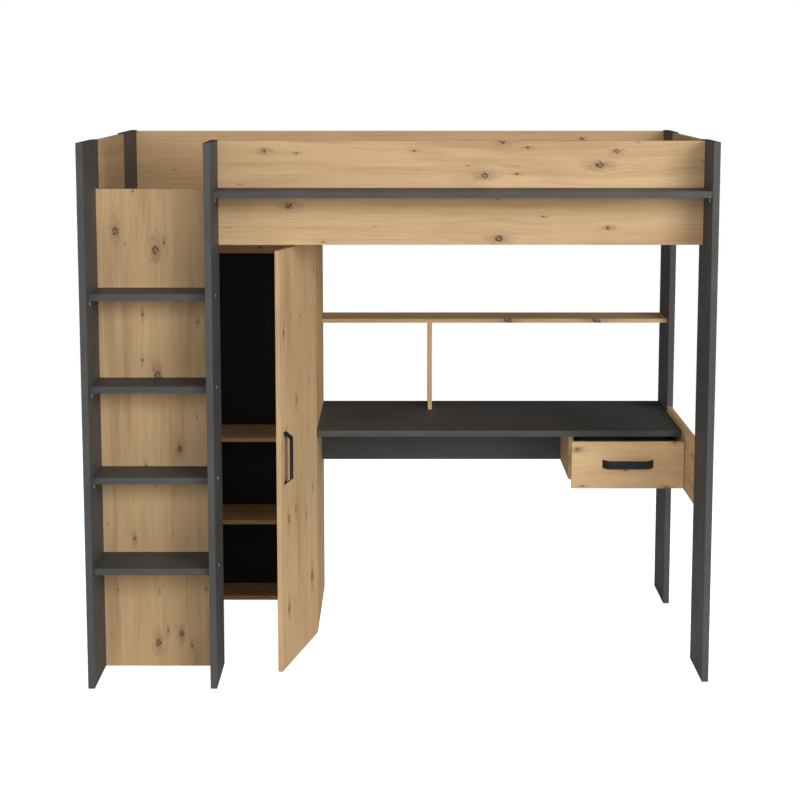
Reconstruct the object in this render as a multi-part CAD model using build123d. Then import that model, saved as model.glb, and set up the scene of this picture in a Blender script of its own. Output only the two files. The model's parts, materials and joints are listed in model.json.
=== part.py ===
from build123d import *
import os
from math import atan2, tan

os.makedirs("parts", exist_ok=True)

# Loft bed with a ladder, a wardrobe and a desk below. Millimetres, +Z up.
# The origin is on the floor, in the middle of the width and of the depth.
# +X runs to the right as seen from the front, and +Y runs to the rear.

# --- Driving dimensions -------------------------------------------------------

MATTRESS_LENGTH = 2000.0
MATTRESS_WIDTH = 900.0
MATTRESS_PLAY = 10.0

GREY_BOARD = 22.0        # posts, steps, guard rail and desk top
OAK_BOARD = 16.0         # guards, side panels, door and drawer front
SHELF_BOARD = 15.0       # hutch shelf and its divider
DRAWER_BOARD = 12.0      # sides and back of the drawer box
THIN_BOARD = 3.0         # wardrobe back and drawer bottom

DEPTH = 1180.0           # from the ladder posts' front edge to the rear edge
HEIGHT = 1793.0          # posts
GUARD_TOP = 1790.0       # upper edge of every guard and end panel
GUARD_BOTTOM = 1446.0    # lower edge of every guard and end panel

# Posts: how far each board runs from front to rear.
LADDER_POST_DEPTH = 296.0
STAIR_POST_DEPTH = 252.0
RIGHT_FRONT_POST_DEPTH = 243.0
REAR_LEFT_POST_DEPTH = 330.0
REAR_RIGHT_POST_DEPTH = 241.0
RIGHT_FRONT_SETBACK = 67.0   # the right front post stands this far behind the ladder posts

# Ladder
LADDER_CLEAR_WIDTH = 381.0
LADDER_PANEL_TOP = 1632.0
STEP_TOPS = (401.0, 698.0, 1001.0, 1304.0)
STEP_DEPTH = 173.5
LOWEST_STEP_DEPTH = 204.5

# Guard rail: the flat ledge between the lower and the upper guard
RAIL_BOTTOM = 1613.0
RAIL_DEPTH = 182.0

# Slatted base
CLEAT_HEIGHT = 28.0
CLEAT_DEPTH = 22.0
CLEAT_BOTTOM = 1450.0
SLAT_COUNT = 14
SLAT_WIDTH = 70.0
SLAT_THICK = 18.0

# Wardrobe
WARDROBE_WIDTH = 432.0
WARDROBE_HEIGHT = 1440.0
WARDROBE_RIGHT = -297.0
WARDROBE_FRONT = -1.0
SHELF_TOPS = (333.5, 651.0)
SHELF_DEPTH = 248.0
BOTTOM_DEPTH = 174.0
TRAVERSE_BOTTOM = 1323.0

# Door
DOOR_BOTTOM = 5.0
DOOR_TOP = 1434.0
DOOR_GAP = 2.0           # between the closed door and the wardrobe's front edges
DOOR_OPEN = 76.8         # degrees from closed, as the part rests
HINGE_HEIGHTS = (110.0, 720.0, 1330.0)
CUP_RADIUS = 17.5
CUP_DEPTH = 11.5
CUP_FROM_EDGE = 22.0
HINGE_NOSE = -11.0       # front end of a hinge's arm

# Handles: a bent flat strip, the same on the door and on the drawer
HANDLE_LENGTH = 180.0
HANDLE_GRIP = 142.0
HANDLE_WIDTH = 28.5
HANDLE_THICK = 4.0
HANDLE_REACH = 25.0
HANDLE_SCREWS = 160.0
DOOR_HANDLE_Z = 733.0
DOOR_HANDLE_FROM_EDGE = 45.0

# Desk
DESK_TOP = 745.0
DESK_FRONT = -1.0
MODESTY_FRONT = 407.0
MODESTY_BOTTOM = 550.0
DESK_PANEL_Z = (546.0, 766.0)
HUTCH_SHELF_Z = 1077.0
HUTCH_FRONT = 393.0
DIVIDER_LEFT = 105.7

# Drawer
SUPPORT_LEFT = 610.6
SUPPORT_FRONT = 79.0
SUPPORT_BOTTOM = 548.0
DRAWER_FRONT_X = (606.0, 1003.0)
DRAWER_FRONT_Z = (553.0, 721.0)
DRAWER_PULLED = 142.0    # how far out the drawer rests
DRAWER_LENGTH = 300.0
DRAWER_SIDE_Z = (575.0, 695.0)
DRAWER_BOTTOM_Z = 583.0
RUNNER_GAP = 12.5
RUNNER_SHEET = 1.2
RUNNER_Z = (567.0, 597.0)
ROLLER_RADIUS = 12.0
ROLLER_WIDTH = 8.6
AXLE_RADIUS = 3.0

# Fasteners and fits
DOWEL_RADIUS = 4.0
DRAWER_DOWEL_RADIUS = 3.0
FIT = 0.05               # radial clearance of a pin or dowel in its hole
ROLL_GAP = 0.3           # between a roller and the track it runs on

# --- Positions worked out from the driving dimensions --------------------------

INNER_X = (MATTRESS_LENGTH + MATTRESS_PLAY) / 2
OUTER_X = INNER_X + GREY_BOARD
FRONT = -DEPTH / 2
REAR = DEPTH / 2
PANEL_FRONT = REAR - 2 - OAK_BOARD                   # front face of the rear panel
GUARD_REAR = PANEL_FRONT - MATTRESS_WIDTH - MATTRESS_PLAY
GUARD_FRONT = GUARD_REAR - OAK_BOARD
STAIR_LEFT = -INNER_X + LADDER_CLEAR_WIDTH           # left face of the stair post
STAIR_RIGHT = STAIR_LEFT + GREY_BOARD
RIGHT_FRONT_Y = FRONT + RIGHT_FRONT_SETBACK
LADDER_PANEL_Y = -362.0                              # front face of the ladder's back panel
LADDER_PANEL_REAR = LADDER_PANEL_Y + OAK_BOARD
LEFT_PANEL_Y = (FRONT + LADDER_POST_DEPTH, REAR - REAR_LEFT_POST_DEPTH)
RIGHT_PANEL_Y = (RIGHT_FRONT_Y + RIGHT_FRONT_POST_DEPTH, REAR - REAR_RIGHT_POST_DEPTH)
RAIL_TOP = RAIL_BOTTOM + GREY_BOARD
SLAT_BOTTOM = CLEAT_BOTTOM + CLEAT_HEIGHT

WARDROBE_LEFT = WARDROBE_RIGHT - WARDROBE_WIDTH
WARDROBE_IN = (WARDROBE_LEFT + OAK_BOARD, WARDROBE_RIGHT - OAK_BOARD)
WARDROBE_BACK_Y = PANEL_FRONT - 2
DOOR_INNER = WARDROBE_FRONT - DOOR_GAP
DOOR_OUTER = DOOR_INNER - OAK_BOARD
HINGE_AXIS = (WARDROBE_RIGHT, DOOR_OUTER)

DESK_BOTTOM = DESK_TOP - GREY_BOARD
DRAWER_FRONT_Y = SUPPORT_FRONT - 2 - OAK_BOARD - DRAWER_PULLED   # outer face as it rests
BOX_FRONT = DRAWER_FRONT_Y + OAK_BOARD
BOX_REAR = BOX_FRONT + DRAWER_LENGTH
SUPPORT_RIGHT = SUPPORT_LEFT + OAK_BOARD
BOX_X = (SUPPORT_RIGHT + RUNNER_GAP, INNER_X - RUNNER_GAP)
DRAWER_MID = (SUPPORT_RIGHT + INNER_X) / 2
ROLLER_Z = RUNNER_Z[0] + RUNNER_SHEET + ROLL_GAP + ROLLER_RADIUS
FRONT_ROLLER_Y = SUPPORT_FRONT + 15
REAR_ROLLER_Y = BOX_REAR - 12

X_AXIS = (1, 0, 0)
Y_AXIS = (0, 1, 0)
Z_AXIS = (0, 0, 1)


# --- Helpers ------------------------------------------------------------------

def block(x, y, z):
    """A board between two values on each axis."""
    size = [pair[1] - pair[0] for pair in (x, y, z)]
    middle = [(pair[1] + pair[0]) / 2 for pair in (x, y, z)]
    return Pos(*middle) * Box(*size)


def rod(start, direction, radius, length):
    """A round bar from a point along a direction."""
    along = (Align.CENTER, Align.CENTER, Align.MIN)
    return Plane(origin=start, z_dir=direction) * Cylinder(radius, length, align=along)


def dowel_set(points, axis, into, out_of, radius=DOWEL_RADIUS):
    """Dowels centred on a joint face: each runs 'into' along the axis and 'out_of' against it."""
    pins, holes = [], []
    for point in points:
        start = tuple(p - a * out_of for p, a in zip(point, axis))
        pins.append(rod(start, axis, radius, into + out_of))
        holes.append(rod(start, axis, radius + FIT, into + out_of))
    return pins, holes


def screw(head_face, direction, shank, length, head_radius=4.0, head_height=2.4):
    """A pan-head screw with a cross recess; the head's underside lies at head_face."""
    away = tuple(-d for d in direction)
    top = tuple(p + a * head_height for p, a in zip(head_face, away))
    head = rod(head_face, away, head_radius, head_height)
    head = chamfer(head.edges().group_by(SortBy.LENGTH)[-1].sort_by(Axis(head_face, away))[-1], 0.8)
    body = head + rod(head_face, direction, shank, length)
    recess_plane = Plane(origin=top, z_dir=away)
    slot = recess_plane * (Box(head_radius, 0.9, 2.4) + Box(0.9, head_radius, 2.4))
    return body - slot


def grouped(solids, name):
    """Separate identical solids that share one node."""
    group = Compound(children=list(solids))
    group.label = name
    return group


def save(part, name):
    part.label = name
    export_step(part, os.path.join("parts", name + ".step"))


# --- Dowels and their holes -----------------------------------------------------

def frame_dowels():
    """Dowels between the posts and the panels, guards and rail of the bed."""
    sets = []
    end_x = INNER_X + OAK_BOARD / 2
    for side, ends in ((-1, LEFT_PANEL_Y), (1, RIGHT_PANEL_Y)):
        for y, turn in zip(ends, (1, -1)):
            points = [(side * end_x, y, z) for z in (1500, 1736)]
            sets.append(dowel_set(points, (0, turn, 0), 20, 14))
    for y, turn in zip(RIGHT_PANEL_Y, (1, -1)):
        points = [(end_x, y, z) for z in (585, 700)]
        sets.append(dowel_set(points, (0, turn, 0), 20, 14))
    for x, turn in ((-INNER_X, 1), (INNER_X, -1)):
        points = [(x, PANEL_FRONT + OAK_BOARD / 2, z) for z in (1500, 1736)]
        sets.append(dowel_set(points, (turn, 0, 0), 20, 12))
    guard_y = (GUARD_FRONT + GUARD_REAR) / 2
    for x, turn in ((STAIR_RIGHT, 1), (INNER_X, -1)):
        points = [(x, guard_y, z) for z in (1480, 1580, 1670, 1755)]
        points += [(x, y, RAIL_BOTTOM + GREY_BOARD / 2) for y in (-495, -400)]
        sets.append(dowel_set(points, (turn, 0, 0), 20, 12))
    return sets


def ladder_dowels():
    """Dowels that hold the ladder's back panel and the steps."""
    sets = []
    panel_y = (LADDER_PANEL_Y + LADDER_PANEL_REAR) / 2
    for x, turn in ((-INNER_X, 1), (STAIR_LEFT, -1)):
        points = [(x, panel_y, z) for z in (200, 850, 1500)]
        sets.append(dowel_set(points, (turn, 0, 0), 20, 12))
    for top in STEP_TOPS:
        middle = top - GREY_BOARD / 2
        points = [(x, LADDER_PANEL_Y, middle) for x in (-920, -710)]
        sets.append(dowel_set(points, (0, -1, 0), 20, 10))
        sets.append(dowel_set([(-INNER_X, -430, middle)], X_AXIS, 20, 12))
    return sets


def wardrobe_dowels():
    """Dowels of the wardrobe's traverse and bottom board."""
    sets = []
    for x, turn in ((WARDROBE_IN[0], 1), (WARDROBE_IN[1], -1)):
        points = [(x, WARDROBE_BACK_Y - OAK_BOARD / 2, z) for z in (1350, 1410)]
        points += [(x, y, OAK_BOARD / 2) for y in (430, 540)]
        sets.append(dowel_set(points, (turn, 0, 0), 20, 10))
    return sets


def desk_dowels():
    """Dowels of the desk top, its rear panel, the hutch and the drawer support."""
    sets = []
    top_mid = (DESK_TOP + DESK_BOTTOM) / 2
    shelf_mid = HUTCH_SHELF_Z + SHELF_BOARD / 2
    rear_mid = MODESTY_FRONT + OAK_BOARD / 2
    for x, turn in ((WARDROBE_RIGHT, 1), (INNER_X, -1)):
        points = [(x, y, top_mid) for y in (60, 280, 500)]
        points += [(x, y, shelf_mid) for y in (430, 530)]
        points += [(x, rear_mid, z) for z in (590, 690)]
        sets.append(dowel_set(points, (turn, 0, 0), 20, 10))
    divider_mid = DIVIDER_LEFT + SHELF_BOARD / 2
    support_mid = SUPPORT_LEFT + OAK_BOARD / 2
    divider_foot = [(divider_mid, y, DESK_TOP) for y in (430, 530)]
    divider_head = [(divider_mid, y, HUTCH_SHELF_Z) for y in (430, 530)]
    hung = [(support_mid, y, DESK_BOTTOM) for y in (120, 360)]
    hung += [(x, rear_mid, DESK_BOTTOM) for x in (-150, 400)]
    sets.append(dowel_set(divider_foot, Z_AXIS, 20, 10))
    sets.append(dowel_set(divider_head, (0, 0, -1), 20, 10))
    sets.append(dowel_set(hung, (0, 0, -1), 20, 12))
    butt = [(support_mid, MODESTY_FRONT, z) for z in (590, 680)]
    sets.append(dowel_set(butt, (0, -1, 0), 20, 10))
    return sets


def drawer_dowels():
    """Dowels of the drawer box."""
    sets = []
    half = DRAWER_BOARD / 2
    for x, turn in ((BOX_X[0], 1), (BOX_X[1], -1)):
        front = [(x + turn * half, BOX_FRONT, z) for z in (610, 670)]
        back = [(x + turn * DRAWER_BOARD, BOX_REAR - half, z) for z in (615, 670)]
        sets.append(dowel_set(front, Y_AXIS, 20, 10, DRAWER_DOWEL_RADIUS))
        sets.append(dowel_set(back, (turn, 0, 0), 20, 8, DRAWER_DOWEL_RADIUS))
    return sets


def pins_of(sets):
    return [pin for pins, _ in sets for pin in pins]


def holes_of(sets):
    return [hole for _, holes in sets for hole in holes]


# --- Bed frame ------------------------------------------------------------------

def posts():
    """The five upright boards, by name."""
    full = (0, HEIGHT)
    left = (-OUTER_X, -INNER_X)
    right = (INNER_X, OUTER_X)
    return {
        "post_front_left": block(left, (FRONT, FRONT + LADDER_POST_DEPTH), full),
        "post_ladder_right": block(
            (STAIR_LEFT, STAIR_RIGHT), (FRONT, FRONT + STAIR_POST_DEPTH), full
        ),
        "post_front_right": block(
            right, (RIGHT_FRONT_Y, RIGHT_FRONT_Y + RIGHT_FRONT_POST_DEPTH), full
        ),
        "post_rear_left": block(left, (REAR - REAR_LEFT_POST_DEPTH, REAR), full),
        "post_rear_right": block(right, (REAR - REAR_RIGHT_POST_DEPTH, REAR), full),
    }


def bed_panels():
    """Guards, end panels, rear panel and the ledge between the guards, by name."""
    guard_x = (STAIR_RIGHT, INNER_X)
    guard_y = (GUARD_FRONT, GUARD_REAR)
    end_z = (GUARD_BOTTOM, GUARD_TOP)
    return {
        "guard_lower": block(guard_x, guard_y, (GUARD_BOTTOM, RAIL_BOTTOM)),
        "guard_rail": block(guard_x, (GUARD_REAR - RAIL_DEPTH, GUARD_REAR), (RAIL_BOTTOM, RAIL_TOP)),
        "guard_upper": block(guard_x, guard_y, (RAIL_TOP, GUARD_TOP)),
        "rear_panel": block((-INNER_X, INNER_X), (PANEL_FRONT, PANEL_FRONT + OAK_BOARD), end_z),
        "end_panel_left": block((-INNER_X - OAK_BOARD, -INNER_X), LEFT_PANEL_Y, end_z),
        "end_panel_right": block((INNER_X, INNER_X + OAK_BOARD), RIGHT_PANEL_Y, end_z),
    }


def cleats():
    """The three battens that carry the slats, by name."""
    z = (CLEAT_BOTTOM, SLAT_BOTTOM)
    front_edge = GUARD_REAR + CLEAT_DEPTH
    return {
        "slat_cleat_front": block((STAIR_RIGHT, INNER_X), (GUARD_REAR, front_edge), z),
        "slat_cleat_ladder": block((-INNER_X, STAIR_LEFT), (LADDER_PANEL_REAR, front_edge), z),
        "slat_cleat_rear": block((-INNER_X, INNER_X), (PANEL_FRONT - CLEAT_DEPTH, PANEL_FRONT), z),
    }


def cleat_screws():
    """Screws through the cleats into the boards behind them."""
    z = CLEAT_BOTTOM + CLEAT_HEIGHT / 2
    front_edge = GUARD_REAR + CLEAT_DEPTH
    spots = [((x, PANEL_FRONT - CLEAT_DEPTH, z), (0, 1, 0), 34) for x in (-900, -300, 300, 900)]
    spots += [((x, front_edge, z), (0, -1, 0), 34) for x in (-500, 0, 500, 950)]
    spots += [((x, front_edge, z), (0, -1, 0), 42) for x in (-920, -710)]
    return spots


def slats():
    """Loose slats laid across the cleats, evenly spaced along the mattress."""
    y = (GUARD_REAR + 2, PANEL_FRONT - 2)
    z = (SLAT_BOTTOM, SLAT_BOTTOM + SLAT_THICK)
    pitch = (MATTRESS_LENGTH - SLAT_WIDTH) / (SLAT_COUNT - 1)
    start = -MATTRESS_LENGTH / 2
    return [
        block((start + i * pitch, start + i * pitch + SLAT_WIDTH), y, z) for i in range(SLAT_COUNT)
    ]


# --- Ladder ---------------------------------------------------------------------

def ladder_panel():
    return block((-INNER_X, STAIR_LEFT), (LADDER_PANEL_Y, LADDER_PANEL_REAR), (0, LADDER_PANEL_TOP))


def step(top):
    """One tread between the two ladder posts; the lowest is deeper."""
    depth = LOWEST_STEP_DEPTH if top == min(STEP_TOPS) else STEP_DEPTH
    y = (LADDER_PANEL_Y - depth, LADDER_PANEL_Y)
    return block((-INNER_X, STAIR_LEFT), y, (top - GREY_BOARD, top))


def step_screws():
    """Screws through the ladder's right post into each tread."""
    spots = []
    for top in STEP_TOPS:
        spots.append(((STAIR_RIGHT, -485, top - GREY_BOARD / 2), (-1, 0, 0), 62))
    return spots


BRACKET_LEG = 16.0
BRACKET_WIDTH = 12.0
BRACKET_SHEET = 1.5
BRACKET_SCREW = 1.8


def bracket(x, y, z, turn):
    """A steel angle under a board: one leg on the post at x, one under the board at z."""
    across = (y - BRACKET_WIDTH / 2, y + BRACKET_WIDTH / 2)
    upright = block(sorted((x, x + turn * BRACKET_SHEET)), across, (z - BRACKET_LEG, z))
    flat = block(sorted((x, x + turn * BRACKET_LEG)), across, (z - BRACKET_SHEET, z))
    drills = []
    for face, way, _ in bracket_screws(x, y, z, turn):
        start = tuple(f - w for f, w in zip(face, way))
        drills.append(rod(start, way, BRACKET_SCREW + FIT, 4))
    return upright + flat - drills


def bracket_screws(x, y, z, turn):
    """One screw into the post and one up into the board."""
    reach = BRACKET_LEG * 0.62
    into_post = ((x + turn * BRACKET_SHEET, y, z - reach), (-turn, 0, 0), 12)
    into_board = ((x + turn * reach, y, z - BRACKET_SHEET), (0, 0, 1), 12)
    return [into_post, into_board]


def bracket_places():
    """Where the angles sit: under each tread at the left post, and under both rail ends."""
    places = [(-INNER_X, -520, top - GREY_BOARD, 1) for top in STEP_TOPS]
    places.append((STAIR_RIGHT, -456, RAIL_BOTTOM, 1))
    places.append((INNER_X, -469, RAIL_BOTTOM, -1))
    return places


# --- Wardrobe -------------------------------------------------------------------

def wardrobe():
    """The wardrobe's boards, by name."""
    left, right = WARDROBE_IN
    full_y = (WARDROBE_FRONT, WARDROBE_BACK_Y)
    shelf_x = (left + 0.5, right - 0.5)
    shelf_y = (WARDROBE_BACK_Y - SHELF_DEPTH, WARDROBE_BACK_Y)
    boards = {
        "wardrobe_side_left": block((WARDROBE_LEFT, left), full_y, (0, WARDROBE_HEIGHT)),
        "wardrobe_side_right": block((right, WARDROBE_RIGHT), full_y, (0, WARDROBE_HEIGHT)),
        "wardrobe_back": block(
            (WARDROBE_LEFT, WARDROBE_RIGHT),
            (WARDROBE_BACK_Y, WARDROBE_BACK_Y + THIN_BOARD),
            (2, WARDROBE_HEIGHT),
        ),
        "wardrobe_bottom": block(
            WARDROBE_IN, (WARDROBE_BACK_Y - BOTTOM_DEPTH, WARDROBE_BACK_Y), (0, OAK_BOARD)
        ),
        "wardrobe_traverse": block(
            WARDROBE_IN,
            (WARDROBE_BACK_Y - OAK_BOARD, WARDROBE_BACK_Y),
            (TRAVERSE_BOTTOM, WARDROBE_HEIGHT),
        ),
    }
    for name, top in zip(("wardrobe_shelf_lower", "wardrobe_shelf_upper"), SHELF_TOPS):
        boards[name] = block(shelf_x, shelf_y, (top - OAK_BOARD, top))
    return boards


PIN_RADIUS = 2.5
PIN_DEPTH = 8.0


def shelf_pins():
    """Steel pins in the wardrobe's sides, four under each shelf, and their holes."""
    pins, holes = [], []
    for top in SHELF_TOPS:
        for y in (WARDROBE_BACK_Y - SHELF_DEPTH + 30, WARDROBE_BACK_Y - 30):
            for x, turn in ((WARDROBE_IN[0], 1), (WARDROBE_IN[1], -1)):
                start = (x - turn * PIN_DEPTH, y, top - OAK_BOARD - PIN_RADIUS)
                pins.append(rod(start, (turn, 0, 0), PIN_RADIUS, 2 * PIN_DEPTH))
                holes.append(rod(start, (turn, 0, 0), PIN_RADIUS + FIT, 2 * PIN_DEPTH))
    return pins, holes


# --- Door -----------------------------------------------------------------------

def swing(part, angle=DOOR_OPEN):
    """Turns a piece of the closed door about the hinge line."""
    x, y = HINGE_AXIS
    return Pos(x, y, 0) * Rot(0, 0, angle) * Pos(-x, -y, 0) * part


def handle():
    """A flat strip bent to a long low bridge; length along X, reach along -Y, base on y = 0."""
    run = (HANDLE_LENGTH - HANDLE_GRIP) / 2
    slope = atan2(HANDLE_REACH, run)
    foot = HANDLE_THICK * (1 + (run / HANDLE_REACH) ** 2) ** 0.5
    corner = HANDLE_GRIP / 2 - HANDLE_THICK * tan(slope / 2)
    half = HANDLE_LENGTH / 2
    inner_y = -(HANDLE_REACH - HANDLE_THICK)
    outline = [
        (-half, 0), (-HANDLE_GRIP / 2, -HANDLE_REACH), (HANDLE_GRIP / 2, -HANDLE_REACH), (half, 0),
        (half - foot, 0), (corner, inner_y), (-corner, inner_y), (-half + foot, 0),
    ]
    strip = extrude(make_face(Polyline(*outline, close=True)), HANDLE_WIDTH / 2, both=True)
    bends = strip.edges().filter_by(Axis.Z).group_by(Axis.Y)
    strip = fillet(bends[0] + bends[1], 1.8)
    for x in (-HANDLE_SCREWS / 2, HANDLE_SCREWS / 2):
        strip += rod((x, 0, 0), (0, -1, 0), 3.2, 6.5)
    for x in (-HANDLE_SCREWS / 2, HANDLE_SCREWS / 2):
        strip -= rod((x, 0, 0), (0, -1, 0), 2 + FIT, 6)
    return strip


def door_handle_place():
    """Turns the handle upright and puts it on the closed door's outer face."""
    x = WARDROBE_LEFT + DOOR_HANDLE_FROM_EDGE
    return Pos(x, DOOR_OUTER, DOOR_HANDLE_Z) * Rot(0, 90, 0)


def handle_screw_spots(x, y, z, upright):
    """Screws from the inner face of a front into a handle; y is that inner face."""
    half = HANDLE_SCREWS / 2
    if upright:
        return [((x, y, z + s), (0, -1, 0), OAK_BOARD + 6) for s in (-half, half)]
    return [((x + s, y, z), (0, -1, 0), OAK_BOARD + 6) for s in (-half, half)]


def hinge_cup(z):
    """A thin steel cup let into the door's inner face, with its flange."""
    x = WARDROBE_RIGHT - CUP_FROM_EDGE
    mouth = (x, DOOR_INNER, z)
    cup = rod(mouth, (0, -1, 0), CUP_RADIUS - FIT, CUP_DEPTH)
    flange = block((x - 10, x + 10), (DOOR_INNER, DOOR_INNER + 1.2), (z - 31, z + 31))
    hollow = rod((x, DOOR_INNER + 2, z), (0, -1, 0), CUP_RADIUS - 1.2, CUP_DEPTH + 1)
    return cup + flange - hollow


def hinge_plate(z):
    """The hinge's mounting plate on the wardrobe's right side."""
    x = WARDROBE_IN[1]
    return block((x - 3, x), (22, 58), (z - 28, z + 28))


def hinge_arm(z):
    """The fixed arm over the mounting plate; its nose with two rivets reaches into the closed door's cup."""
    x = WARDROBE_IN[1]
    arm = block((x - 12, x - 3), (HINGE_NOSE, 62), (z - 6.5, z + 6.5))
    groove = block((x - 10.5, x - 1), (HINGE_NOSE - 1, 50), (z - 5, z + 5))
    arm -= groove
    for y in (HINGE_NOSE + 3.5, HINGE_NOSE + 12):
        arm += rod((x - 6.5, y, z - 7), (0, 0, 1), 1.6, 14)
    return arm


# --- Desk -----------------------------------------------------------------------

def desk():
    """The desk's boards and the hutch above it, by name."""
    width = (WARDROBE_RIGHT, INNER_X)
    hutch_y = (HUTCH_FRONT, WARDROBE_BACK_Y)
    return {
        "desk_top": block(width, (DESK_FRONT, PANEL_FRONT), (DESK_BOTTOM, DESK_TOP)),
        "desk_rear_panel": block(
            width, (MODESTY_FRONT, MODESTY_FRONT + OAK_BOARD), (MODESTY_BOTTOM, DESK_BOTTOM)
        ),
        "desk_side_panel": block((INNER_X, INNER_X + OAK_BOARD), RIGHT_PANEL_Y, DESK_PANEL_Z),
        "drawer_support": block(
            (SUPPORT_LEFT, SUPPORT_RIGHT),
            (SUPPORT_FRONT, MODESTY_FRONT),
            (SUPPORT_BOTTOM, DESK_BOTTOM),
        ),
        "hutch_shelf": block(width, hutch_y, (HUTCH_SHELF_Z, HUTCH_SHELF_Z + SHELF_BOARD)),
        "hutch_divider": block(
            (DIVIDER_LEFT, DIVIDER_LEFT + SHELF_BOARD), hutch_y, (DESK_TOP, HUTCH_SHELF_Z)
        ),
    }


# --- Drawer ---------------------------------------------------------------------

GROOVE = 6.0
GROOVE_PLAY = 0.1


def drawer_bottom(play=0.0):
    """The thin bottom, held in grooves; with play it is the tool that cuts them."""
    x = (BOX_X[0] + DRAWER_BOARD - GROOVE + 0.2 - play, BOX_X[1] - DRAWER_BOARD + GROOVE - 0.2 + play)
    y = (BOX_FRONT - GROOVE + 0.2 - play, BOX_REAR + play)
    return block(x, y, (DRAWER_BOTTOM_Z - play, DRAWER_BOTTOM_Z + THIN_BOARD + play))


def drawer():
    """The drawer's boards as it rests, pulled part way out, by name."""
    left, right = BOX_X
    y = (BOX_FRONT, BOX_REAR)
    inner = (left + DRAWER_BOARD, right - DRAWER_BOARD)
    grooves = drawer_bottom(GROOVE_PLAY)
    boards = {
        "drawer_front": block(DRAWER_FRONT_X, (DRAWER_FRONT_Y, BOX_FRONT), DRAWER_FRONT_Z) - grooves,
        "drawer_side_left": block((left, inner[0]), y, DRAWER_SIDE_Z) - grooves,
        "drawer_side_right": block((inner[1], right), y, DRAWER_SIDE_Z) - grooves,
        "drawer_back": block(
            inner,
            (BOX_REAR - DRAWER_BOARD, BOX_REAR),
            (DRAWER_BOTTOM_Z + THIN_BOARD + GROOVE_PLAY, DRAWER_SIDE_Z[1]),
        ),
    }
    return boards


def mirrored(part):
    """The same piece on the other side of the drawer."""
    return mirror(part, about=Plane.YZ.offset(DRAWER_MID))


def cabinet_runner():
    """A C-shaped track on the drawer support, with the front roller's axle."""
    x = SUPPORT_RIGHT
    low, high = RUNNER_Z
    reach = x + RUNNER_GAP - 2
    y = (SUPPORT_FRONT + 3, SUPPORT_FRONT + 303)
    web = block((x, x + RUNNER_SHEET), y, RUNNER_Z)
    floor = block((x, reach), y, (low, low + RUNNER_SHEET))
    roof = block((x, reach), y, (high - RUNNER_SHEET, high))
    axle = rod((x, FRONT_ROLLER_Y, ROLLER_Z), X_AXIS, AXLE_RADIUS, RUNNER_GAP - 2.5)
    return web + floor + roof + axle


def drawer_runner():
    """An angle on the drawer's side that rides over the front roller, with the rear axle."""
    x = BOX_X[0]
    flange_z = ROLLER_Z + ROLLER_RADIUS + ROLL_GAP
    y = (BOX_FRONT, BOX_REAR + 4)
    web = block((x - RUNNER_SHEET, x), y, (DRAWER_SIDE_Z[0] - 4, flange_z + RUNNER_SHEET))
    flange = block((x - RUNNER_GAP + 2.5, x), y, (flange_z, flange_z + RUNNER_SHEET))
    axle = rod((x, REAR_ROLLER_Y, ROLLER_Z), (-1, 0, 0), AXLE_RADIUS, RUNNER_GAP - 2.5)
    return web + flange + axle


def roller(y):
    """A plastic roller on a runner's axle, left side."""
    start = (SUPPORT_RIGHT + (RUNNER_GAP - ROLLER_WIDTH) / 2, y, ROLLER_Z)
    wheel = rod(start, X_AXIS, ROLLER_RADIUS, ROLLER_WIDTH)
    wheel = chamfer(wheel.edges().filter_by(GeomType.CIRCLE), 0.6)
    return wheel - rod(start, X_AXIS, AXLE_RADIUS + FIT, ROLLER_WIDTH)


# --- Assembly -------------------------------------------------------------------

def screws_and_holes(spots, shank, head_radius=4.0, head_height=2.4):
    """Screws at the given spots, and the holes they need."""
    made = [screw(face, way, shank, length, head_radius, head_height) for face, way, length in spots]
    holes = [rod(face, way, shank + FIT, length) for face, way, length in spots]
    return made, holes


frame_joints = frame_dowels()
ladder_joints = ladder_dowels()
wardrobe_joints = wardrobe_dowels()
desk_joints = desk_dowels()
drawer_joints = drawer_dowels()

cleat_fixings, cleat_holes = screws_and_holes(cleat_screws(), 2.0)
step_fixings, step_holes = screws_and_holes(step_screws(), 2.5, 5.0, 3.0)
bracket_spots = [spot for place in bracket_places() for spot in bracket_screws(*place)]
bracket_fixings, bracket_holes = screws_and_holes(bracket_spots, BRACKET_SCREW, 3.2, 1.8)
pins, pin_holes = shelf_pins()

bed_holes = holes_of(frame_joints) + holes_of(ladder_joints) + step_holes + bracket_holes
for name, board in posts().items():
    save(board - bed_holes - holes_of(desk_joints), name)
for name, board in bed_panels().items():
    save(board - holes_of(frame_joints) - cleat_holes - bracket_holes, name)
for name, board in cleats().items():
    save(board - cleat_holes, name)
save(grouped(cleat_fixings, "cleat_screws"), "cleat_screws")
save(grouped(slats(), "slats"), "slats")

save(ladder_panel() - holes_of(ladder_joints) - cleat_holes, "ladder_panel")
for number, top in enumerate(STEP_TOPS, 1):
    save(step(top) - holes_of(ladder_joints) - step_holes - bracket_holes, f"ladder_step_{number}")
save(grouped(step_fixings, "step_screws"), "step_screws")
save(grouped([bracket(*place) for place in bracket_places()], "angle_brackets"), "angle_brackets")
save(grouped(bracket_fixings, "bracket_screws"), "bracket_screws")

for name, board in wardrobe().items():
    save(board - holes_of(wardrobe_joints) - holes_of(desk_joints) - pin_holes, name)
save(grouped(pins, "shelf_pins"), "shelf_pins")

root_dowels = pins_of(frame_joints + ladder_joints + wardrobe_joints + desk_joints)
save(grouped(root_dowels, "dowels"), "dowels")

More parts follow.
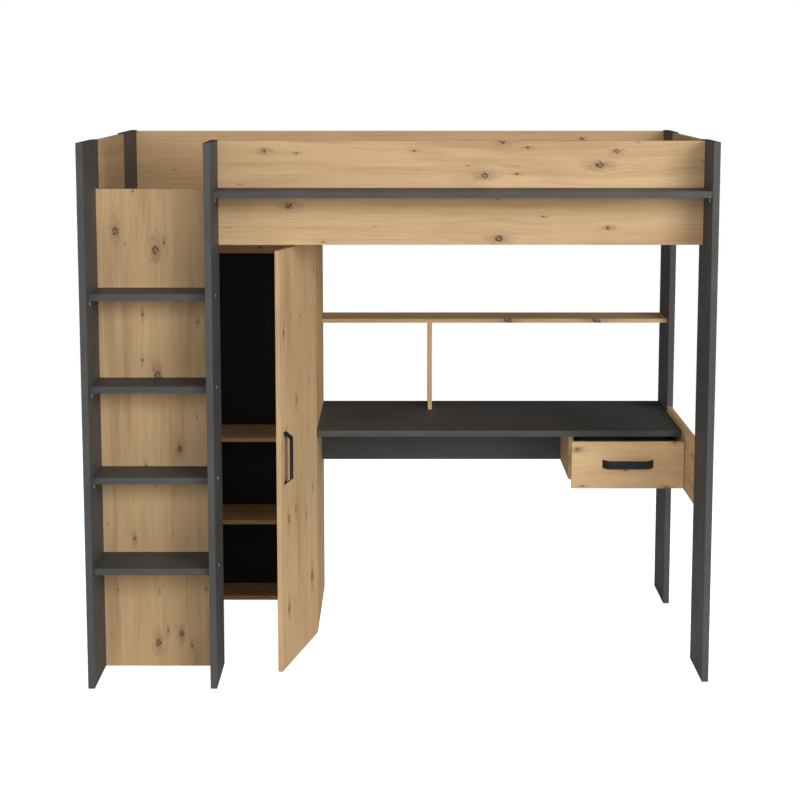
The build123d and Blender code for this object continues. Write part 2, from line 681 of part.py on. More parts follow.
door_screws, door_screw_holes = screws_and_holes(
    handle_screw_spots(WARDROBE_LEFT + DOOR_HANDLE_FROM_EDGE, DOOR_INNER, DOOR_HANDLE_Z, True), 2.0
)
cup_holes = [
    rod((WARDROBE_RIGHT - CUP_FROM_EDGE, DOOR_INNER, z), (0, -1, 0), CUP_RADIUS, CUP_DEPTH)
    for z in HINGE_HEIGHTS
]
door = block((WARDROBE_LEFT, WARDROBE_RIGHT), (DOOR_OUTER, DOOR_INNER), (DOOR_BOTTOM, DOOR_TOP))
save(swing(door - cup_holes - door_screw_holes), "door")
save(swing(door_handle_place() * handle()), "door_handle")
save(grouped([swing(s) for s in door_screws], "door_handle_screws"), "door_handle_screws")
save(grouped([swing(hinge_cup(z)) for z in HINGE_HEIGHTS], "hinge_cups"), "hinge_cups")
save(grouped([hinge_plate(z) for z in HINGE_HEIGHTS], "hinge_plates"), "hinge_plates")
save(grouped([hinge_arm(z) for z in HINGE_HEIGHTS], "hinge_arms"), "hinge_arms")

for name, board in desk().items():
    save(board - holes_of(desk_joints) - holes_of(frame_joints), name)

front_mid_x = sum(DRAWER_FRONT_X) / 2
front_mid_z = sum(DRAWER_FRONT_Z) / 2 + 5
drawer_screws, drawer_screw_holes = screws_and_holes(
    handle_screw_spots(front_mid_x, BOX_FRONT, front_mid_z, False), 2.0
)
for name, board in drawer().items():
    save(board - holes_of(drawer_joints) - drawer_screw_holes, name)
save(drawer_bottom(), "drawer_bottom")
save(Pos(front_mid_x, DRAWER_FRONT_Y, front_mid_z) * handle(), "drawer_handle")
save(grouped(drawer_screws, "drawer_handle_screws"), "drawer_handle_screws")
save(grouped(pins_of(drawer_joints), "drawer_dowels"), "drawer_dowels")

for name, part in (
    ("cabinet_runners", cabinet_runner()),
    ("drawer_runners", drawer_runner()),
    ("front_rollers", roller(FRONT_ROLLER_Y)),
    ("rear_rollers", roller(REAR_ROLLER_Y)),
):
    save(grouped([part, mirrored(part)], name), name)
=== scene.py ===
import bpy
import json
import math
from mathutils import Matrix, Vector


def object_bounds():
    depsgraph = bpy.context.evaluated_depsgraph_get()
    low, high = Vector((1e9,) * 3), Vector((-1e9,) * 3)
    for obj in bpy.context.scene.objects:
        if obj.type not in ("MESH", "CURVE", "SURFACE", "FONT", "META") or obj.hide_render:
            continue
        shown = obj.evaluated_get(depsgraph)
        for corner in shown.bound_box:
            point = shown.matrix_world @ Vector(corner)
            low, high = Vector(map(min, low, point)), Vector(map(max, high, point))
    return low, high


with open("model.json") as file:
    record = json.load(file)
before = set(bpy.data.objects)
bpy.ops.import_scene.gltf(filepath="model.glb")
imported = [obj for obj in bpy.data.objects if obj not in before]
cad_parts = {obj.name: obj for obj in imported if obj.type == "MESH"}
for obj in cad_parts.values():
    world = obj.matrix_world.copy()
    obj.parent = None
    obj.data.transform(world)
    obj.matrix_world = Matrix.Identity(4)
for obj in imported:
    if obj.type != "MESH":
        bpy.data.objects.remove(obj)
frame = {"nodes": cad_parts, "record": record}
nodes = frame["nodes"]
cad_low, cad_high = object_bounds()

# Loft bed with a desk, a wardrobe and a ladder. Metres, +Z up, the front faces -Y.

# --- Camera ---------------------------------------------------------------------

CAMERA_BACK = 6.215      # in front of the object's middle
CAMERA_HEIGHT = 2.030
CAMERA_PITCH = 7.6       # degrees below the horizon
CAMERA_LENS = 79.82
CAMERA_SHIFT = -0.12


def make_camera():
    middle = (cad_low + cad_high) / 2
    data = bpy.data.cameras.new("camera")
    data.lens = CAMERA_LENS
    data.sensor_width = 36.0
    data.shift_y = CAMERA_SHIFT
    data.clip_end = 100.0
    camera = bpy.data.objects.new("camera", data)
    camera.location = (middle.x, middle.y - CAMERA_BACK, CAMERA_HEIGHT)
    camera.rotation_euler = (math.radians(90 - CAMERA_PITCH), 0, 0)
    bpy.context.scene.collection.objects.link(camera)
    bpy.context.scene.camera = camera


# --- Shader building ------------------------------------------------------------

class Shader:
    """A material's node tree, with short calls for the nodes that the finishes use."""

    def __init__(self, name):
        self.material = bpy.data.materials.new(name)
        self.material.use_nodes = True
        self.tree = self.material.node_tree
        self.tree.nodes.clear()
        self.out = self.tree.nodes.new("ShaderNodeOutputMaterial")
        self.bsdf = self.tree.nodes.new("ShaderNodeBsdfPrincipled")
        self.link(self.bsdf.outputs["BSDF"], self.out.inputs["Surface"])

    def link(self, source, target):
        self.tree.links.new(source, target)

    def put(self, socket, value):
        """Sets a socket to a number or vector, or links it to another node's output."""
        if isinstance(value, bpy.types.NodeSocket):
            self.link(value, socket)
        elif value is not None:
            socket.default_value = value

    def math(self, operation, a, b=None, c=None):
        node = self.tree.nodes.new("ShaderNodeMath")
        node.operation = operation
        for socket, value in zip(node.inputs, (a, b, c)):
            self.put(socket, value)
        return node.outputs[0]

    def vector(self, x, y, z):
        node = self.tree.nodes.new("ShaderNodeCombineXYZ")
        for socket, value in zip(node.inputs, (x, y, z)):
            self.put(socket, value)
        return node.outputs[0]

    def split(self, vector):
        node = self.tree.nodes.new("ShaderNodeSeparateXYZ")
        self.link(vector, node.inputs[0])
        return node.outputs

    def place(self, turn=0.0):
        """The board's own coordinates, turned about Z by some degrees."""
        coords = self.tree.nodes.new("ShaderNodeTexCoord")
        if not turn:
            return coords.outputs["Object"]
        mapping = self.tree.nodes.new("ShaderNodeMapping")
        mapping.inputs["Rotation"].default_value = (0, 0, math.radians(turn))
        self.link(coords.outputs["Object"], mapping.inputs["Vector"])
        return mapping.outputs[0]

    def noise(self, vector, scale=1.0, detail=2.0, rough=0.5):
        node = self.tree.nodes.new("ShaderNodeTexNoise")
        self.link(vector, node.inputs["Vector"])
        node.inputs["Scale"].default_value = scale
        node.inputs["Detail"].default_value = detail
        node.inputs["Roughness"].default_value = rough
        return node.outputs["Fac"]

    def field(self, u, v, along, across, seed, **kind):
        """A noise with so many cells per metre along u and across it, along v."""
        stretched = self.vector(self.math("MULTIPLY", u, along), self.math("MULTIPLY", v, across), seed)
        return self.noise(stretched, **kind)

    def sway(self, noise, amount, value):
        """A value moved to and fro by a noise."""
        return self.math("MULTIPLY_ADD", self.math("SUBTRACT", noise, 0.5), amount, value)

    def distance(self, a, b):
        squared = self.math("ADD", self.math("MULTIPLY", a, a), self.math("MULTIPLY", b, b))
        return self.math("SQRT", squared)

    def wave(self, angle):
        """A sine between 0 and 1."""
        return self.math("MULTIPLY_ADD", self.math("SINE", angle), 0.5, 0.5)

    def cells(self, vector):
        """Two-dimensional cells: (colour of the cell, position of its point)."""
        node = self.tree.nodes.new("ShaderNodeTexVoronoi")
        node.voronoi_dimensions = "2D"
        node.feature = "F1"
        node.inputs["Scale"].default_value = 1.0
        self.link(vector, node.inputs["Vector"])
        return node.outputs["Color"], node.outputs["Position"]

    def ramp(self, value, low, high, to_low=0.0, to_high=1.0, smooth=True):
        node = self.tree.nodes.new("ShaderNodeMapRange")
        node.interpolation_type = "SMOOTHSTEP" if smooth else "LINEAR"
        for socket, item in zip(node.inputs, (value, low, high, to_low, to_high)):
            self.put(socket, item)
        return node.outputs[0]

    def blend(self, factor, a, b):
        """Colour a, going over to colour b as the factor goes from 0 to 1."""
        node = self.tree.nodes.new("ShaderNodeMix")
        node.data_type = "RGBA"
        self.put(node.inputs[0], factor)
        colour_sockets = [s for s in node.inputs if s.type == "RGBA"]
        for socket, value in zip(colour_sockets, (a, b)):
            self.put(socket, (*value, 1.0) if isinstance(value, tuple) else value)
        return [s for s in node.outputs if s.type == "RGBA"][0]

    def bump(self, height, distance, strength):
        node = self.tree.nodes.new("ShaderNodeBump")
        node.inputs["Strength"].default_value = strength
        node.inputs["Distance"].default_value = distance
        self.put(node.inputs["Height"], height)
        self.link(node.outputs[0], self.bsdf.inputs["Normal"])

    def finish(self, colour, roughness, specular, metallic=0.0):
        """Sets the shader's own sockets, and gives the finished material."""
        base = (*colour, 1.0) if isinstance(colour, tuple) else colour
        self.put(self.bsdf.inputs["Base Color"], base)
        self.put(self.bsdf.inputs["Roughness"], roughness)
        self.bsdf.inputs["Specular IOR Level"].default_value = specular
        self.bsdf.inputs["Metallic"].default_value = metallic
        return self.material


# --- Oak decor ------------------------------------------------------------------

OAK_LIGHT = (0.715, 0.492, 0.268)
OAK_MID = (0.620, 0.412, 0.216)
OAK_DARK = (0.400, 0.250, 0.132)
OAK_STREAK = (0.440, 0.262, 0.132)
KNOT_BROWN = (0.050, 0.033, 0.024)
KNOT_HALO = (0.330, 0.202, 0.108)
PIN_BROWN = (0.098, 0.056, 0.033)

# Three layers of knots: metres along and across the grain of the field that holds at most one knot,
# the share of fields that hold one, its radii, and how far it is drawn out along the grain.
KNOTS = dict(field=(0.350, 0.125), odds=0.55, small=0.0035, large=0.0115, stretch=1.35)
PIN_KNOTS = dict(field=(0.190, 0.075), odds=0.42, small=0.0011, large=0.0038, stretch=1.6)
DOTS = dict(field=(0.085, 0.040), odds=0.30, small=0.0005, large=0.0013, stretch=1.3)


def knots(s, u, v, seed, field, odds, small, large, stretch):
    """One layer of knots: (along, across and straight distance from the knot, its radius, is there one)."""
    here = (
        s.math("MULTIPLY_ADD", u, 1 / field[0], seed * 7.31),
        s.math("MULTIPLY_ADD", v, 1 / field[1], seed * 3.17),
    )
    colour, point = s.cells(s.vector(here[0], here[1], 0.0))
    there = s.split(point)
    along = s.math("MULTIPLY", s.math("SUBTRACT", here[0], there[0]), field[0] / stretch)
    over = s.math("MULTIPLY", s.math("SUBTRACT", here[1], there[1]), field[1])
    parts = s.tree.nodes.new("ShaderNodeSeparateColor")
    s.link(colour, parts.inputs[0])
    present = s.math("LESS_THAN", parts.outputs[0], odds)
    radius = s.ramp(parts.outputs[1], 0.0, 1.0, small, large, smooth=False)
    return along, over, s.distance(along, over), radius, present


def flow_round(s, v, knot):
    """The grain flows round each large knot, as water flows round a stone."""
    _, over, reach, radius, present = knot
    size = s.math("MULTIPLY", radius, radius)
    spread = s.math("MULTIPLY_ADD", reach, reach, s.math("MULTIPLY", size, 3.0))
    pull = s.math("DIVIDE", s.math("MULTIPLY", size, 4.5), spread)
    bend = s.math("MULTIPLY", s.math("MULTIPLY", over, pull), present)
    return s.math("SUBTRACT", v, bend)


def oak_ground(s, u, v, v_flow, seed):
    """Broad bands, growth lines, streaks, fine fibres and brown smears: (colour, streaks, fibres)."""
    bands = s.field(u, v_flow, 0.65, 8.0, seed, detail=3.0, rough=0.5)
    rings = s.wave(s.math("MULTIPLY", bands, 85.0))
    streaks = s.field(u, v_flow, 1.6, 95.0, seed, detail=4.0, rough=0.6)
    grain_lines = s.field(u, v_flow, 3.0, 330.0, seed, detail=3.0, rough=0.7)
    brown = s.field(u, v_flow, 1.1, 22.0, seed + 3.0, detail=3.0, rough=0.5)
    fibres = s.field(u, v_flow, 22.0, 750.0, seed, detail=3.0, rough=0.65)
    blotch = s.field(u, v, 2.4, 6.0, seed, detail=3.0)
    smears = s.field(u, v_flow, 7.0, 34.0, seed + 9.0, detail=4.0, rough=0.6)

    colour = s.blend(s.ramp(bands, 0.34, 0.66), OAK_LIGHT, OAK_MID)
    ring_depth = s.ramp(blotch, 0.40, 0.66, 0.02, 0.22)
    colour = s.blend(s.math("MULTIPLY", rings, ring_depth), colour, OAK_DARK)
    for layer, low, high, depth, tone in (
        (brown, 0.50, 0.74, 0.62, OAK_STREAK),
        (streaks, 0.50, 0.74, 0.24, OAK_DARK),
        (streaks, 0.48, 0.28, 0.30, OAK_LIGHT),
        (grain_lines, 0.46, 0.70, 0.50, OAK_DARK),
        (fibres, 0.50, 0.74, 0.22, OAK_DARK),
        (blotch, 0.48, 0.72, 0.24, OAK_DARK),
        (smears, 0.60, 0.78, 0.34, KNOT_HALO),
    ):
        colour = s.blend(s.ramp(layer, low, high, 0.0, depth), colour, tone)
    return colour, streaks, fibres


def large_knots(s, colour, knot, crumple, grit, seed):
    """Rings drawn out along the grain, a broken dark rim, and cracks running out: (colour, rim)."""
    along, over, reach, radius, present = knot
    ragged = s.sway(grit, 1.6, s.math("DIVIDE", reach, radius))
    drawn = s.math("DIVIDE", s.distance(s.math("MULTIPLY", along, 0.50), over), radius)
    drawn = s.sway(crumple, 3.2, drawn)

    halo = s.ramp(s.math("ADD", drawn, s.math("SUBTRACT", grit, 0.5)), 2.4, 0.6, 0.0, 0.40)
    halo = s.math("MULTIPLY", halo, present)
    whorl = s.wave(s.math("MULTIPLY_ADD", grit, 3.0, s.math("MULTIPLY", drawn, 10.0)))
    whorl_depth = s.math("MULTIPLY", s.ramp(drawn, 3.0, 1.1, 0.0, 0.36), present)
    whorl = s.math("MULTIPLY", whorl, whorl_depth)

    rays = s.field(s.math("ARCTAN2", over, along), reach, 1.7, 130.0, seed, detail=3.0, rough=0.7)
    broken = s.math("MULTIPLY_ADD", grit, 0.6, s.math("MULTIPLY", rays, 0.5))
    broken = s.ramp(broken, 0.46, 0.56, 0.10, 0.95)
    rim = s.math("MULTIPLY", s.ramp(ragged, 1.15, 0.80), s.ramp(ragged, 0.20, 0.60, 0.25, 1.0))
    rim = s.math("MULTIPLY", rim, s.math("MULTIPLY", broken, present))
    cracks = s.math("MULTIPLY", s.ramp(rays, 0.60, 0.64, 0.0, 0.62), s.ramp(ragged, 2.0, 0.9))
    cracks = s.math("MULTIPLY", cracks, present)

    for layer, tone in ((halo, KNOT_HALO), (whorl, KNOT_HALO), (cracks, KNOT_BROWN), (rim, KNOT_BROWN)):
        colour = s.blend(layer, colour, tone)
    return colour, rim


def small_marks(s, colour, u, v, grit, seed):
    """Brown pin knots, each in a stain drawn along the grain, and dark dots: (colour, pin knots)."""
    along, over, reach, radius, present = knots(s, u, v, seed + 5.0, **PIN_KNOTS)
    edge = s.sway(grit, 1.1, s.math("DIVIDE", reach, radius))
    pin = s.math("MULTIPLY", s.ramp(edge, 1.2, 0.6, 0.0, 0.90), present)
    tail = s.distance(s.math("MULTIPLY", along, 0.36), over)
    tail = s.sway(grit, 1.4, s.math("DIVIDE", tail, radius))
    stain = s.math("MULTIPLY", s.ramp(tail, 2.4, 0.5, 0.0, 0.50), present)

    _, _, reach, radius, present = knots(s, u, v, seed + 11.0, **DOTS)
    edge = s.math("DIVIDE", reach, radius)
    dot = s.math("MULTIPLY", s.ramp(edge, 1.3, 0.6, 0.0, 0.75), present)

    for layer, tone in ((stain, KNOT_HALO), (pin, PIN_BROWN), (dot, KNOT_BROWN)):
        colour = s.blend(layer, colour, tone)
    return colour, pin


def oak(name, grain, across, seed, turn=0.0):
    """Knotty oak decor with its grain along one axis, as (grain axis, axis across it)."""
    s = Shader(name)
    axes = s.split(s.place(turn))
    depth = axes[3 - grain - across]
    # The end and edge bandings carry on the face's pattern, drawn out through the thickness.
    u = s.math("MULTIPLY_ADD", depth, 0.31, s.math("ADD", axes[grain], seed * 1.37))
    v = s.math("MULTIPLY_ADD", depth, 0.47, s.math("ADD", axes[across], seed * 0.613))

    # Knots lie in a slightly crumpled field, which breaks their outlines.
    wander = s.field(u, v, 1.3, 4.0, seed, detail=2.0)
    crumple = s.field(u, v, 55.0, 75.0, seed, detail=3.0, rough=0.6)
    grit = s.field(u, v, 190.0, 260.0, seed, detail=3.0, rough=0.65)
    knot = knots(s, s.sway(crumple, 0.016, u), s.sway(crumple, -0.013, v), seed, **KNOTS)
    v_flow = flow_round(s, s.sway(wander, 0.045, v), knot)

    colour, streaks, fibres = oak_ground(s, u, v, v_flow, seed)
    colour, rim = large_knots(s, colour, knot, crumple, grit, seed)
    colour, pin = small_marks(s, colour, u, v, grit, seed)
    relief = s.math("MULTIPLY_ADD", fibres, -0.6, s.math("MULTIPLY", streaks, -0.5))
    relief = s.math("SUBTRACT", relief, s.math("MAXIMUM", rim, pin))
    s.bump(relief, 0.00018, 0.35)
    return s.finish(colour, s.ramp(fibres, 0.3, 0.8, 0.62, 0.74), specular=0.15)


# --- Other finishes -------------------------------------------------------------

GRAPHITE = (0.080, 0.079, 0.078)
GRAPHITE_DEEP = (0.067, 0.066, 0.065)
GRAPHITE_PEARL = (0.105, 0.105, 0.106)
FOIL_GREY = (0.075, 0.075, 0.078)
FOIL_LIGHT = (0.12, 0.12, 0.124)
FOIL_THREADS = 5200.0    # radians of the linen emboss per metre

PINE = (0.74, 0.56, 0.33), (0.56, 0.37, 0.18)
PINE_SLAT = (0.76, 0.58, 0.35), (0.58, 0.39, 0.19)
BEECH = (0.66, 0.47, 0.28), (0.50, 0.33, 0.18)

# One noise moves an even coating's colour, gloss and relief a little: by material slot, its two
# colours, the noise's cells per metre, the roughness range and the height of the relief.
COATINGS = {
    # satin black powder coat with its fine orange peel
    "black_metal": dict(
        colours=((0.006, 0.006, 0.0065), (0.011, 0.011, 0.0115)), scale=1400.0,
        roughness=(0.42, 0.52), relief=0.00006, strength=0.4, specular=0.35,
    ),
    # zinc-plated steel with a slightly cloudy surface
    "steel": dict(
        colours=((0.72, 0.73, 0.75), (0.58, 0.59, 0.62)), scale=160.0, detail=3.0, shift=(0.35, 0.65),
        roughness=(0.25, 0.42), relief=0.00003, metallic=1.0,
    ),
    # white powder coat on the drawer runners
    "runner_steel": dict(
        colours=((0.80, 0.80, 0.79), (0.72, 0.72, 0.71)), scale=1100.0,
        roughness=(0.40, 0.50), relief=0.00005,
    ),
    "nylon": dict(
        colours=((0.82, 0.81, 0.77), (0.74, 0.73, 0.69)), scale=240.0,
        roughness=(0.35, 0.45), relief=0.00004, strength=0.2,
    ),
    # matt black hardboard with its faint fibre texture
    "black_back": dict(
        colours=((0.006, 0.006, 0.0065), (0.010, 0.010, 0.0105)), scale=420.0, detail=3.0, rough=0.6,
        roughness=(0.55, 0.68), relief=0.0001, specular=0.3,
    ),
}


def coating(
    name, colours, scale, roughness, relief,
    detail=2.0, rough=0.5, shift=(0.4, 0.7), strength=0.3, specular=0.5, metallic=0.0,
):
    """An even coating, from one row of COATINGS."""
    s = Shader(name)
    grit = s.noise(s.place(), scale=scale, detail=detail, rough=rough)
    colour = s.blend(s.ramp(grit, *shift), *colours)
    s.bump(grit, relief, strength)
    return s.finish(colour, s.ramp(grit, 0.3, 0.7, *roughness), specular, metallic)


def graphite(name):
    """Matt graphite melamine: an even grey with a fine pearl and a soft cloud in it."""
    s = Shader(name)
    at = s.place()
    cloud = s.noise(at, scale=3.5, detail=3.0, rough=0.5)
    grit = s.noise(at, scale=900.0, detail=2.0, rough=0.6)
    colour = s.blend(s.ramp(cloud, 0.35, 0.65), GRAPHITE, GRAPHITE_DEEP)
    colour = s.blend(s.ramp(grit, 0.35, 0.75, 0.0, 0.25), colour, GRAPHITE_PEARL)
    s.bump(grit, 0.00008, 0.3)
    return s.finish(colour, s.ramp(cloud, 0.3, 0.7, 0.56, 0.64), specular=0.22)


def timber(name, colours, grain, across, seed):
    """Planed timber with straight grain, for slats, cleats and dowels."""
    s = Shader(name)
    axes = s.split(s.place())
    u = axes[grain]
    v = s.math("ADD", axes[across], seed * 0.41)
    depth = axes[3 - grain - across]
    bands = s.field(u, v, 0.8, 34.0, s.math("MULTIPLY", depth, 20.0), detail=3.0)
    fibres = s.field(u, v, 20.0, 700.0, s.math("MULTIPLY", depth, 200.0), detail=2.0)
    lines = s.wave(s.math("MULTIPLY", bands, 60.0))
    light, dark = colours
    colour = s.blend(s.math("MULTIPLY", lines, 0.45), light, dark)
    colour = s.blend(s.ramp(fibres, 0.5, 0.8, 0.0, 0.35), colour, dark)
    s.bump(fibres, 0.00015, 0.3)
    return s.finish(colour, s.ramp(fibres, 0.3, 0.8, 0.5, 0.65), specular=0.3)


def foil(name):
    """Grey foil on the drawer box, with a fine linen emboss."""
    s = Shader(name)
    axes = s.split(s.place())
    warp = s.math("SINE", s.math("MULTIPLY", axes[0], FOIL_THREADS))
    weft = s.math("SINE", s.math("MULTIPLY", s.math("ADD", axes[1], axes[2]), FOIL_THREADS))
    weave = s.math("MULTIPLY_ADD", s.math("MULTIPLY", warp, weft), 0.5, 0.5)
    haze = s.noise(s.place(), scale=30.0, detail=2.0)
    colour = s.blend(s.math("MULTIPLY", weave, 0.3), FOIL_GREY, FOIL_LIGHT)
    s.bump(weave, 0.00005, 0.3)
    return s.finish(colour, s.ramp(haze, 0.3, 0.7, 0.45, 0.55), specular=0.4)


# --- Finishes on the pieces -------------------------------------------------------

X, Y, Z = 0, 1, 2
DOOR_OPEN = 76.8         # degrees from closed, where the door's width runs along X

OAK_BOARDS = {
    # node: (grain axis, axis across the grain)
    "guard_upper": (X, Z), "guard_lower": (X, Z), "rear_panel": (X, Z),
    "end_panel_left": (Y, Z), "end_panel_right": (Y, Z),
    "ladder_panel": (Z, X),
    "wardrobe_side_left": (Z, Y), "wardrobe_side_right": (Z, Y),
    "wardrobe_shelf_lower": (X, Y), "wardrobe_shelf_upper": (X, Y),
    "wardrobe_bottom": (X, Y), "wardrobe_traverse": (X, Z),
    "door": (Z, X),
    "desk_side_panel": (Y, Z), "drawer_support": (Y, Z),
    "hutch_shelf": (X, Y), "hutch_divider": (Z, Y),
    "drawer_front": (X, Z),
}

slot_of = {part["node"]: part["material_slot"] for part in frame["record"]["subparts"]}

# Roundings of the edges.
OAK_ROUND = 0.0007
GREY_ROUND = 0.0008
PINE_ROUND = 0.0015
DRAWER_ROUND = 0.0005
SHORTEST_EDGE = 0.006    # edges of drilled holes are shorter, and stay sharp
SHARP_ANGLE = math.radians(40)
WELD = 0.00001           # joins the corners that the boards' faces share


def cover(node, material):
    """Puts one material on a CAD piece."""
    data = nodes[node].data
    data.materials.clear()
    data.materials.append(material)


def board_edges():
    """Geometry nodes that shade a board flat and give its long sharp edges a bevel weight."""
    tree = bpy.data.node_groups.new("board_edges", "GeometryNodeTree")
    tree.interface.new_socket("Geometry", in_out="INPUT", socket_type="NodeSocketGeometry")
    tree.interface.new_socket("Geometry", in_out="OUTPUT", socket_type="NodeSocketGeometry")

    def node(kind, **settings):
        made = tree.nodes.new(kind)
        for key, value in settings.items():
            setattr(made, key, value)
        return made

    start = node("NodeGroupInput")
    drop = node("GeometryNodeRemoveAttribute")
    drop.inputs["Name"].default_value = "custom_normal"
    merge = node("GeometryNodeMergeByDistance")
    merge.inputs["Distance"].default_value = WELD
    flat = node("GeometryNodeSetShadeSmooth")
    flat.inputs["Shade Smooth"].default_value = False
    angle = node("GeometryNodeInputMeshEdgeAngle")
    ends = node("GeometryNodeInputMeshEdgeVertices")
    length = node("ShaderNodeVectorMath", operation="DISTANCE")
    is_sharp = node("ShaderNodeMath", operation="GREATER_THAN")
    is_sharp.inputs[1].default_value = SHARP_ANGLE
    is_long = node("ShaderNodeMath", operation="GREATER_THAN")
    is_long.inputs[1].default_value = SHORTEST_EDGE
    both = node("ShaderNodeMath", operation="MULTIPLY")
    store = node("GeometryNodeStoreNamedAttribute", data_type="FLOAT", domain="EDGE")
    store.inputs["Name"].default_value = "bevel_weight_edge"
    end = node("NodeGroupOutput")
    for source, target in (
        (start.outputs[0], drop.inputs["Geometry"]),
        (drop.outputs[0], merge.inputs["Geometry"]),
        (merge.outputs[0], flat.inputs["Geometry"]),
        (flat.outputs[0], store.inputs["Geometry"]),
        (ends.outputs["Position 1"], length.inputs[0]),
        (ends.outputs["Position 2"], length.inputs[1]),
        (angle.outputs["Unsigned Angle"], is_sharp.inputs[0]),
        (length.outputs["Value"], is_long.inputs[0]),
        (is_sharp.outputs[0], both.inputs[0]),
        (is_long.outputs[0], both.inputs[1]),
        (both.outputs[0], store.inputs["Value"]),
        (store.outputs[0], end.inputs[0]),
    ):
        tree.links.new(source, target)
    return tree


edges_tree = board_edges()


def soften_edges(node, width):
    """A small rounding on a board's sharp edges."""
    piece = nodes[node]
    weights = piece.modifiers.new("board_edges", "NODES")
    weights.node_group = edges_tree
    bevel = piece.modifiers.new("edge_rounding", "BEVEL")
    bevel.width = width
    bevel.segments = 2
    bevel.limit_method = "WEIGHT"
    bevel.use_clamp_overlap = False


def finish_boards():
    for seed, (node, (grain, across)) in enumerate(sorted(OAK_BOARDS.items())):
        turn = -DOOR_OPEN if node == "door" else 0.0
        cover(node, oak("oak_" + node, grain, across, seed + 1, turn))
        soften_edges(node, OAK_ROUND)
    grey = graphite("graphite_board")
    for node, slot in slot_of.items():
        if slot == "graphite_board":
            cover(node, grey)
            soften_edges(node, GREY_ROUND)


def finish_fittings():
    finishes = {slot: coating(slot, **settings) for slot, settings in COATINGS.items()}
    finishes["drawer_board"] = foil("drawer_board")
    finishes["beech"] = timber("beech", BEECH, X, Z, 2)
    cleat = timber("pine_cleat", PINE, X, Z, 3)
    slat = timber("pine_slat", PINE_SLAT, Y, X, 7)
    for node, slot in slot_of.items():
        if slot in finishes:
            cover(node, finishes[slot])
        elif slot == "pine":
            cover(node, slat if node == "slats" else cleat)
    for node in ("slats", "slat_cleat_front", "slat_cleat_ladder", "slat_cleat_rear"):
        soften_edges(node, PINE_ROUND)
    for node in ("drawer_side_left", "drawer_side_right", "drawer_back"):
        soften_edges(node, DRAWER_ROUND)


# --- Stage and light --------------------------------------------------------------

FLOOR_RADIUS = 14.0
FLOOR_RIM = 96           # corners of the disc
FLOOR_DROP = 0.0005      # below the feet
FLOOR_WHITE = (0.90, 0.90, 0.90)
FLOOR_GLOW = 0.95        # how white the studio floor looks where the bed shades it
FLOOR_FADE = (2.0, 5.0)  # the floor melts into the white surroundings between these radii
WORLD_SEEN = 1.0
WORLD_LIGHT = 0.05
WORLD_TINT = (1, 0.99, 0.975, 1)
WHITE = (1, 1, 1, 1)

SOFTBOXES = (
    # name, place, (width, height), watts, seen in reflections
    ("key_softbox", (3.8, -6.1, 2.6), (3.2, 3.0), 250, True),
    ("high_softbox", (4.5, -4.5, 4.5), (3.0, 3.0), 72, True),
    ("front_softbox", (0.0, -6.5, 2.8), (4.0, 3.0), 104, True),
    ("fill_softbox", (-4.0, -6.0, 2.6), (3.0, 3.0), 76, True),
    ("left_softbox", (-6.0, -2.0, 2.5), (3.0, 3.0), 40, True),
    ("top_softbox", (0.0, -1.5, 5.5), (6.0, 3.5), 34, True),
    ("back_softbox", (-3.0, 6.0, 0.9), (3.5, 1.3), 110, False),
    ("back_fill", (4.5, 5.0, 1.2), (2.5, 1.8), 60, False),
)


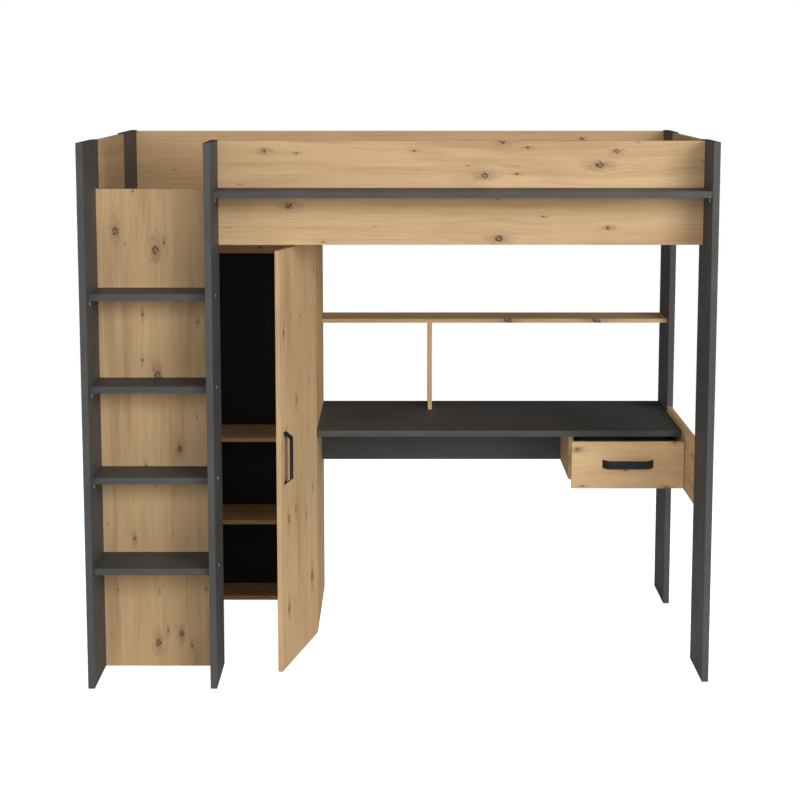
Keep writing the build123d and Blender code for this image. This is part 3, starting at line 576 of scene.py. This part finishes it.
def make_floor():
    """A pale disc whose rim fades away, so that no horizon shows."""
    verts = [(0, 0, 0)]
    for i in range(FLOOR_RIM):
        angle = 2 * math.pi * i / FLOOR_RIM
        verts.append((FLOOR_RADIUS * math.cos(angle), FLOOR_RADIUS * math.sin(angle), 0))
    faces = [(0, 1 + i, 1 + (i + 1) % FLOOR_RIM) for i in range(FLOOR_RIM)]
    mesh = bpy.data.meshes.new("floor")
    mesh.from_pydata(verts, [], faces)
    floor = bpy.data.objects.new("floor", mesh)
    floor.location = (0, 0, cad_low.z - FLOOR_DROP)
    bpy.context.scene.collection.objects.link(floor)

    s = Shader("floor")
    s.finish(FLOOR_WHITE, 0.75, specular=0.2)
    path = s.tree.nodes.new("ShaderNodeLightPath")
    s.bsdf.inputs["Emission Color"].default_value = WHITE
    glow = s.math("MULTIPLY", path.outputs["Is Camera Ray"], FLOOR_GLOW)
    s.put(s.bsdf.inputs["Emission Strength"], glow)
    axes = s.split(s.place())
    clear = s.tree.nodes.new("ShaderNodeBsdfTransparent")
    mix = s.tree.nodes.new("ShaderNodeMixShader")
    s.put(mix.inputs[0], s.ramp(s.distance(axes[0], axes[1]), *FLOOR_FADE, 0.0, 1.0))
    s.link(s.bsdf.outputs[0], mix.inputs[1])
    s.link(clear.outputs[0], mix.inputs[2])
    s.link(mix.outputs[0], s.out.inputs["Surface"])
    mesh.materials.append(s.material)


def make_world():
    """A white room: seen as white, and lighting softly from all round."""
    world = bpy.data.worlds.new("studio")
    world.use_nodes = True
    tree = world.node_tree
    tree.nodes.clear()
    out = tree.nodes.new("ShaderNodeOutputWorld")
    seen = tree.nodes.new("ShaderNodeBackground")
    seen.inputs["Strength"].default_value = WORLD_SEEN
    seen.inputs["Color"].default_value = WHITE
    lit = tree.nodes.new("ShaderNodeBackground")
    lit.inputs["Strength"].default_value = WORLD_LIGHT
    lit.inputs["Color"].default_value = WORLD_TINT
    path = tree.nodes.new("ShaderNodeLightPath")
    mix = tree.nodes.new("ShaderNodeMixShader")
    tree.links.new(path.outputs["Is Camera Ray"], mix.inputs[0])
    tree.links.new(lit.outputs[0], mix.inputs[1])
    tree.links.new(seen.outputs[0], mix.inputs[2])
    tree.links.new(mix.outputs[0], out.inputs["Surface"])
    bpy.context.scene.world = world


def area_light(name, place, aim, size, watts, mirrored):
    data = bpy.data.lights.new(name, "AREA")
    data.shape = "RECTANGLE"
    data.size, data.size_y = size
    data.energy = watts
    lamp = bpy.data.objects.new(name, data)
    lamp.location = place
    lamp.rotation_euler = (Vector(aim) - Vector(place)).to_track_quat("-Z", "Y").to_euler()
    lamp.visible_camera = False
    lamp.visible_glossy = mirrored
    bpy.context.scene.collection.objects.link(lamp)


def make_lights():
    middle = (cad_low + cad_high) / 2
    for name, place, size, watts, mirrored in SOFTBOXES:
        area_light(name, place, middle, size, watts, mirrored)


make_camera()
finish_boards()
finish_fittings()
make_floor()
make_world()
make_lights()
bpy.context.scene.view_settings.view_transform = "Standard"
